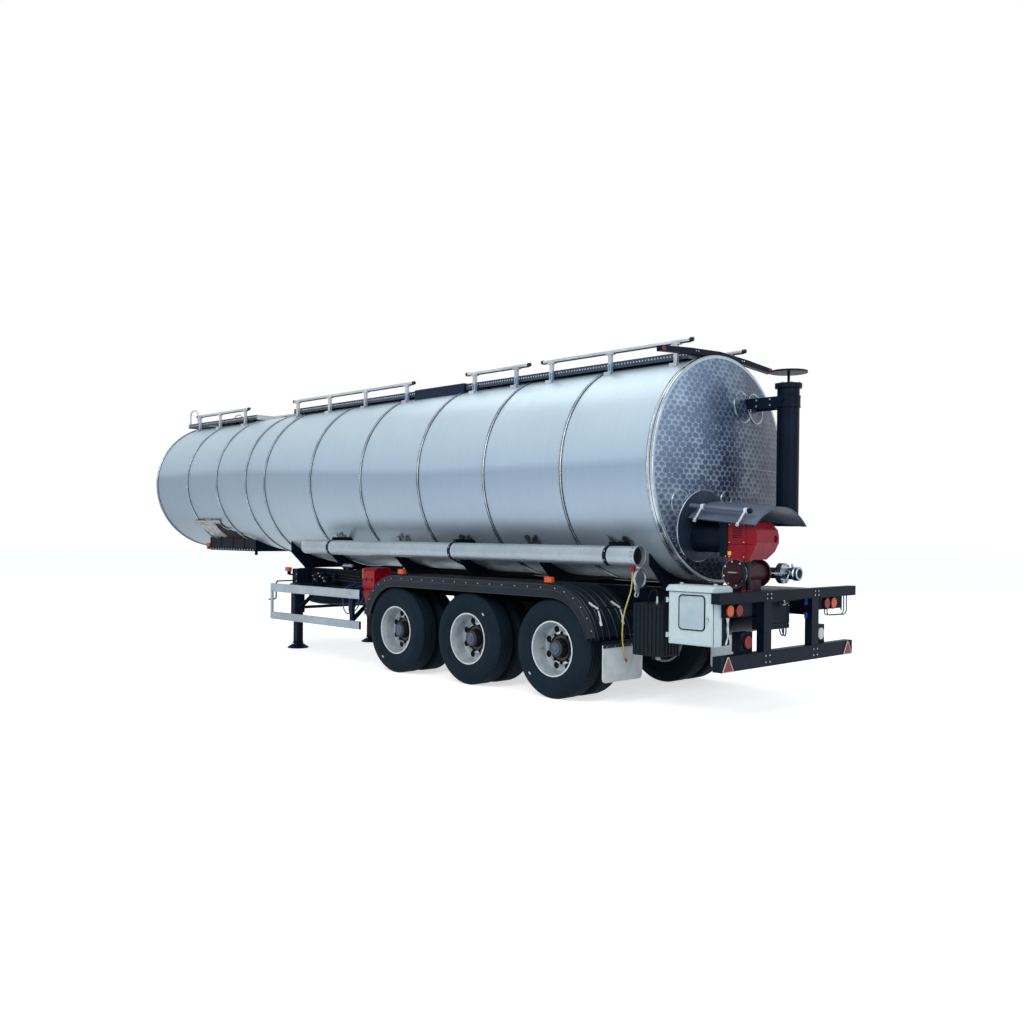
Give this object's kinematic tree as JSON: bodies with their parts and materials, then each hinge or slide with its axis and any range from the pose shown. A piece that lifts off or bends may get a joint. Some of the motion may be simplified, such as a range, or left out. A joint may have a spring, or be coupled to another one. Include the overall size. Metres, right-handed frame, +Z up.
{
  "type": "tanker trailer",
  "caption": "Insulated three-axle tanker semi-trailer with a clad oval tank, swirl-polished rear end, burner, chimney, hose tube and landing legs.",
  "frame": {"origin": "on the ground at the middle of the trailer's length and width", "axes": "+X towards the front of the trailer, +Y towards its left side, +Z up"},
  "size_m": [11.633, 2.5, 3.799],
  "materials": {
    "black_plastic": "matte",
    "black_steel": "satin paint",
    "blue_steel": "satin paint",
    "burner_red": "gloss",
    "cabinet_paint": "powder coat",
    "cladding": "brushed",
    "cord_yellow": "matte",
    "dark_plastic": "matte",
    "flap_white": "matte",
    "guard_grey": "satin",
    "lamp_amber": "gloss",
    "lamp_red": "gloss",
    "lamp_white": "gloss",
    "oxide_red": "satin paint",
    "rail_metal": "satin",
    "red_plastic": "gloss",
    "rim_silver": "satin paint",
    "stainless": "swirl polished",
    "tube_metal": "satin",
    "tyre": "matte"
  },
  "bodies": {
    "trailer": {"air_tanks": "black_steel", "axles": "black_steel", "blast_tube": "black_steel", "burner": "burner_red", "burner_hoses": "tyre", "cabinet": "cabinet_paint", "chassis_frame": "black_steel", "chimney": "black_steel", "cord_fittings": "red_plastic", "coupler_frame": "black_steel", "earth_cord": "cord_yellow", "extinguisher_box": "red_plastic", "fairings": "stainless", "front_head": "stainless", "front_ladder": "rail_metal", "handrails": "rail_metal", "hood": "black_steel", "hood_bar": "black_steel", "hose_tube": "tube_metal", "lamp_bar": "black_steel", "lamp_white": "lamp_white", "lamps_amber": "lamp_amber", "lamps_red": "lamp_red", "landing_gear": "black_steel", "manhole_neck": "stainless", "mudflaps": "flap_white", "mudguard_left": "dark_plastic", "mudguard_right": "dark_plastic", "outlet_pipe": "stainless", "rear_frame": "black_steel", "rear_head": "stainless", "ribbed_tank": "black_plastic", "side_guard_left": "guard_grey", "side_guard_right": "guard_grey", "spare_rim": "rim_silver", "spare_wheel": "tyre", "spill_box": "blue_steel", "spring_hangers": "black_steel", "strainer": "oxide_red", "tank_bands": "stainless", "tank_shell": "cladding", "tube_straps": "tube_metal", "walkway": "rail_metal"},
    "wheel_left_1": {"tyres_left_1": "tyre", "rims_left_1": "rim_silver"},
    "wheel_right_1": {"tyres_right_1": "tyre", "rims_right_1": "rim_silver"},
    "wheel_left_2": {"tyres_left_2": "tyre", "rims_left_2": "rim_silver"},
    "wheel_right_2": {"tyres_right_2": "tyre", "rims_right_2": "rim_silver"},
    "wheel_left_3": {"tyres_left_3": "tyre", "rims_left_3": "rim_silver"},
    "wheel_right_3": {"tyres_right_3": "tyre", "rims_right_3": "rim_silver"},
    "cabinet_door": {"cabinet_door": "cabinet_paint"},
    "manhole_lid": {"manhole_lid": "stainless"},
    "hose_tube_lid": {"hose_tube_lid": "tube_metal"}
  },
  "joints": [
    {"name": "wheel_left_1_spin", "type": "hinge", "parent": "trailer", "child": "wheel_left_1", "pos_m": [-3.7315, 0.95, 0.518], "axis": [0, 1, 0], "continuous": true},
    {"name": "wheel_right_1_spin", "type": "hinge", "parent": "trailer", "child": "wheel_right_1", "pos_m": [-3.7315, -0.95, 0.518], "axis": [0, 1, 0], "continuous": true},
    {"name": "wheel_left_2_spin", "type": "hinge", "parent": "trailer", "child": "wheel_left_2", "pos_m": [-2.4215, 0.95, 0.518], "axis": [0, 1, 0], "continuous": true},
    {"name": "wheel_right_2_spin", "type": "hinge", "parent": "trailer", "child": "wheel_right_2", "pos_m": [-2.4215, -0.95, 0.518], "axis": [0, 1, 0], "continuous": true},
    {"name": "wheel_left_3_spin", "type": "hinge", "parent": "trailer", "child": "wheel_left_3", "pos_m": [-1.1115, 0.95, 0.518], "axis": [0, 1, 0], "continuous": true},
    {"name": "wheel_right_3_spin", "type": "hinge", "parent": "trailer", "child": "wheel_right_3", "pos_m": [-1.1115, -0.95, 0.518], "axis": [0, 1, 0], "continuous": true},
    {"name": "cabinet_door_hinge", "type": "hinge", "parent": "trailer", "child": "cabinet_door", "pos_m": [-5.1995, 1.203, 0.95], "axis": [0, 0, -1], "range_deg": [0, 110]},
    {"name": "manhole_lid_hinge", "type": "hinge", "parent": "trailer", "child": "manhole_lid", "pos_m": [-1.2415, 0, 3.594], "axis": [0, -1, 0], "range_deg": [0, 95]},
    {"name": "hose_tube_lid_hinge", "type": "hinge", "parent": "trailer", "child": "hose_tube_lid", "pos_m": [-4.8245, 1.15, 1.392], "axis": [0, 1, 0], "range_deg": [0, 180]}
  ]
}
